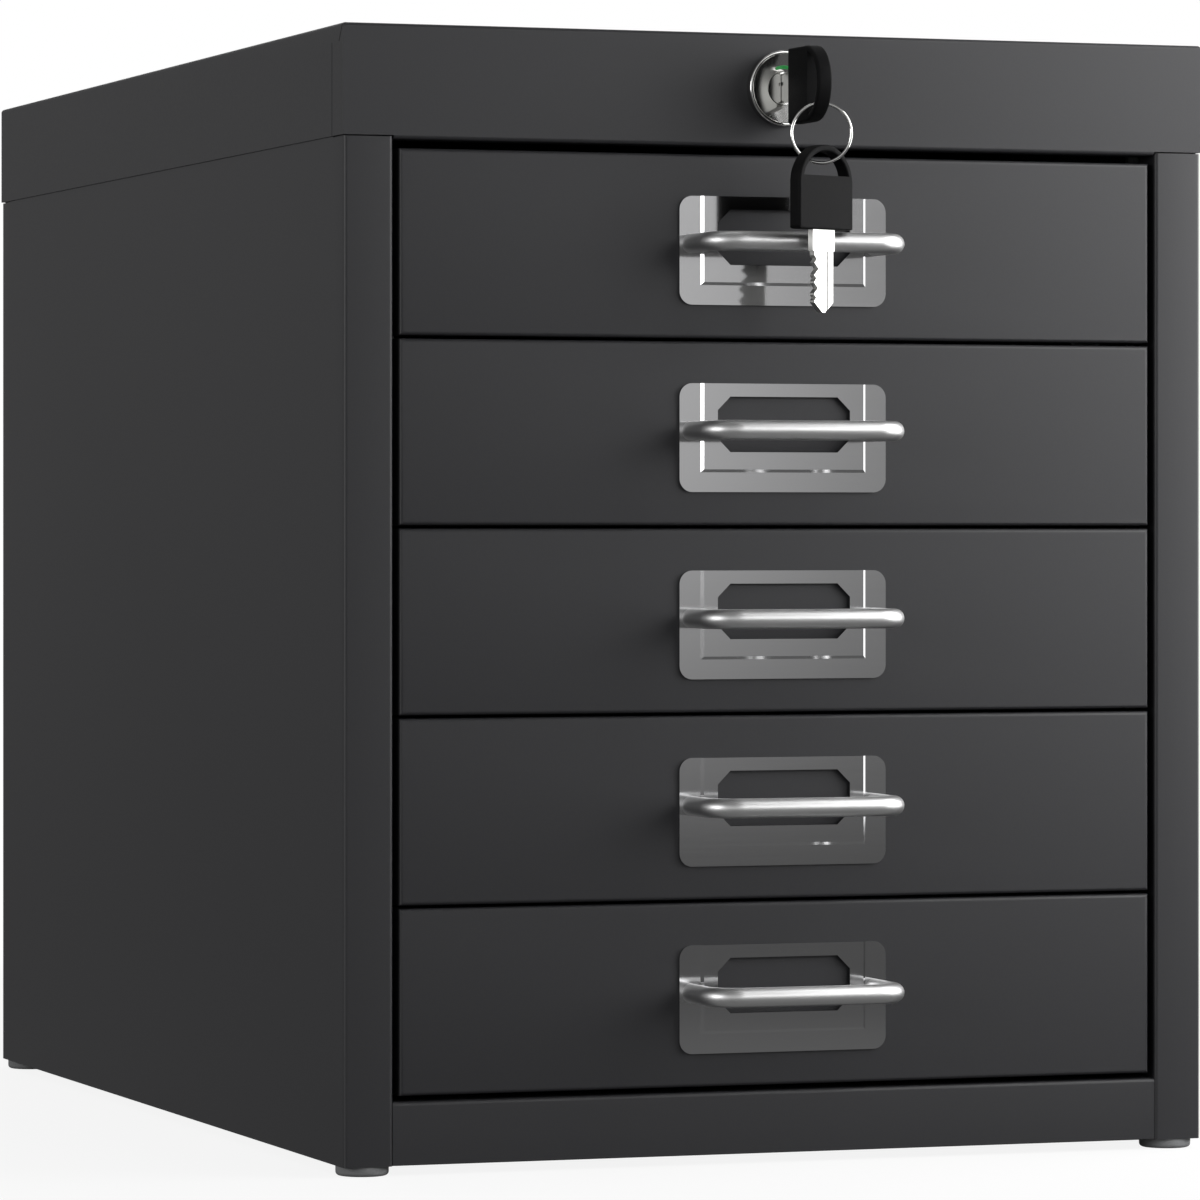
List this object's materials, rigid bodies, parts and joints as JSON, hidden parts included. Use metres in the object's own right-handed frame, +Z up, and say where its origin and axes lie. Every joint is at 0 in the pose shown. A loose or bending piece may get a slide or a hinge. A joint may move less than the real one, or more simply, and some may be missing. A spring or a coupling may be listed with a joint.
{
  "type": "drawer cabinet",
  "caption": "Desktop steel drawer cabinet: shallow drawers with label plates and wire handles, a cam lock in the lid's skirt, round feet and keys on a ring.",
  "frame": {"origin": "on the floor, below the middle of the whole object's box with the keys", "axes": "+X to the right seen from the front, +Y to the back, +Z up"},
  "size_m": [0.2806, 0.446, 0.344],
  "materials": {
    "shell_paint": "charcoal powder coat, fine grain, semi-matt",
    "inner_paint": "charcoal powder coat on the parts inside",
    "zinc": "zinc-plated sheet, dull",
    "nickel": "satin nickel plate",
    "handle_steel": "satin nickel-plated rod",
    "screw_steel": "zinc-plated screws",
    "lock_chrome": "polished nickel",
    "key_plastic": "moulded black plastic, fine grain",
    "key_steel": "nickel-plated key blank",
    "ring_wire": "bright steel wire",
    "foot_rubber": "mid-grey moulded rubber"
  },
  "bodies": {
    "cabinet": {"lid": "shell_paint", "left_side": "shell_paint", "right_side": "shell_paint", "back_panel": "shell_paint", "base_panel": "inner_paint", "front_rail": "shell_paint", "top_brace": "inner_paint", "runner_left_1": "zinc", "runner_left_2": "zinc", "runner_left_3": "zinc", "runner_left_4": "zinc", "runner_left_5": "zinc", "runner_right_1": "zinc", "runner_right_2": "zinc", "runner_right_3": "zinc", "runner_right_4": "zinc", "runner_right_5": "zinc", "foot_front_left": "foot_rubber", "foot_front_right": "foot_rubber", "foot_rear_left": "foot_rubber", "foot_rear_right": "foot_rubber", "lock_housing": "lock_chrome", "lock_nut": "zinc", "bar_guides": "zinc"},
    "drawer_1": {"drawer_front_1": "shell_paint", "drawer_tray_1": "inner_paint", "label_plate_1": "nickel", "handle_1": "handle_steel", "handle_screws_1": "screw_steel"},
    "drawer_2": {"drawer_front_2": "shell_paint", "drawer_tray_2": "inner_paint", "label_plate_2": "nickel", "handle_2": "handle_steel", "handle_screws_2": "screw_steel"},
    "drawer_3": {"drawer_front_3": "shell_paint", "drawer_tray_3": "inner_paint", "label_plate_3": "nickel", "handle_3": "handle_steel", "handle_screws_3": "screw_steel"},
    "drawer_4": {"drawer_front_4": "shell_paint", "drawer_tray_4": "inner_paint", "label_plate_4": "nickel", "handle_4": "handle_steel", "handle_screws_4": "screw_steel"},
    "drawer_5": {"drawer_front_5": "shell_paint", "drawer_tray_5": "inner_paint", "label_plate_5": "nickel", "handle_5": "handle_steel", "handle_screws_5": "screw_steel"},
    "lock_plug": {"lock_plug": "lock_chrome", "lock_cam": "zinc", "cam_screw": "screw_steel"},
    "lock_bar": {"lock_bar": "zinc"},
    "key_1": {"key_1_bow": "key_plastic", "key_1_blade": "key_steel"},
    "key_ring": {"key_ring": "ring_wire"},
    "key_2": {"key_2_bow": "key_plastic", "key_2_blade": "key_steel"}
  },
  "joints": [
    {"name": "drawer_1_slide", "type": "slide", "parent": "cabinet", "child": "drawer_1", "axis": [0, -1, 0], "range_m": [0, 0.33]},
    {"name": "drawer_2_slide", "type": "slide", "parent": "cabinet", "child": "drawer_2", "axis": [0, -1, 0], "range_m": [0, 0.33]},
    {"name": "drawer_3_slide", "type": "slide", "parent": "cabinet", "child": "drawer_3", "axis": [0, -1, 0], "range_m": [0, 0.33]},
    {"name": "drawer_4_slide", "type": "slide", "parent": "cabinet", "child": "drawer_4", "axis": [0, -1, 0], "range_m": [0, 0.33]},
    {"name": "drawer_5_slide", "type": "slide", "parent": "cabinet", "child": "drawer_5", "axis": [0, -1, 0], "range_m": [0, 0.33]},
    {"name": "plug_turn", "type": "hinge", "parent": "cabinet", "child": "lock_plug", "pos_m": [0, -0.187, 0.3273], "axis": [0, 1, 0], "range_deg": [0, 90]},
    {"name": "bar_drop", "type": "slide", "parent": "cabinet", "child": "lock_bar", "axis": [0, 0, -1], "range_m": [0, 0.01131]},
    {"name": "key_1_pull", "type": "slide", "parent": "lock_plug", "child": "key_1", "axis": [0, -1, 0], "range_m": [0, 0.03]},
    {"name": "ring_hang", "type": "hinge", "parent": "key_1", "child": "key_ring", "pos_m": [-0.0005, -0.2165, 0.3178], "axis": [0, 1, 0], "range_deg": [-90, 0]},
    {"name": "key_2_swing", "type": "hinge", "parent": "key_ring", "child": "key_2", "pos_m": [0.001, -0.2165, 0.3031], "axis": [-0.9304, 0.3665, 0], "range_deg": [0, 35]}
  ],
  "couplings": [
    {"joint": "plug_turn", "follows": "bar_drop", "rad_per_m": 138.84},
    {"joint": "ring_hang", "follows": "bar_drop", "rad_per_m": -138.84}
  ]
}
